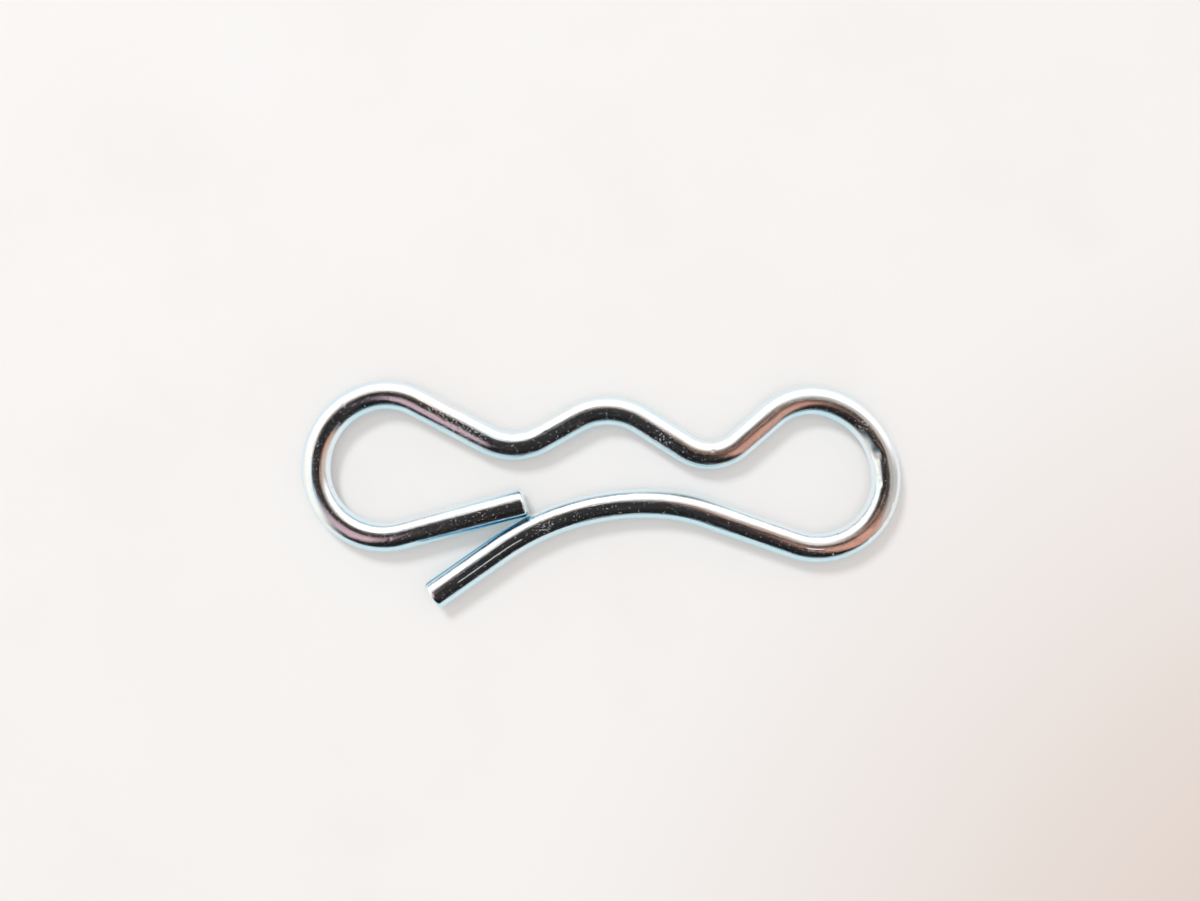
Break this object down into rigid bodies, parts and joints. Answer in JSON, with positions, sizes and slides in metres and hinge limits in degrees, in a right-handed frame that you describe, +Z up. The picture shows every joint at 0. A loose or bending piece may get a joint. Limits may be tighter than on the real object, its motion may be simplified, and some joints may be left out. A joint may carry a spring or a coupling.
{
  "type": "bow tie cotter pin",
  "caption": "Bent spring-wire retaining pin: its long leg passes through a hole across a shaft and the crest between its loops snaps over the shaft.",
  "frame": {"origin": "axis of the shaft that the pin is made for, on the middle of the long leg under the crest, at the height of the surface that the pin lies on", "axes": "+X along the pin from the left loop to the right loop, +Y towards the crest, +Z up out of the plane of the bends"},
  "size_m": [0.0488, 0.0185, 0.0024],
  "materials": {
    "zinc_plated_wire": "drawn spring wire with bright blue-white zinc plate, lightly scuffed"
  },
  "bodies": {
    "root": {"cotter_pin": "zinc_plated_wire"}
  },
  "joints": []
}
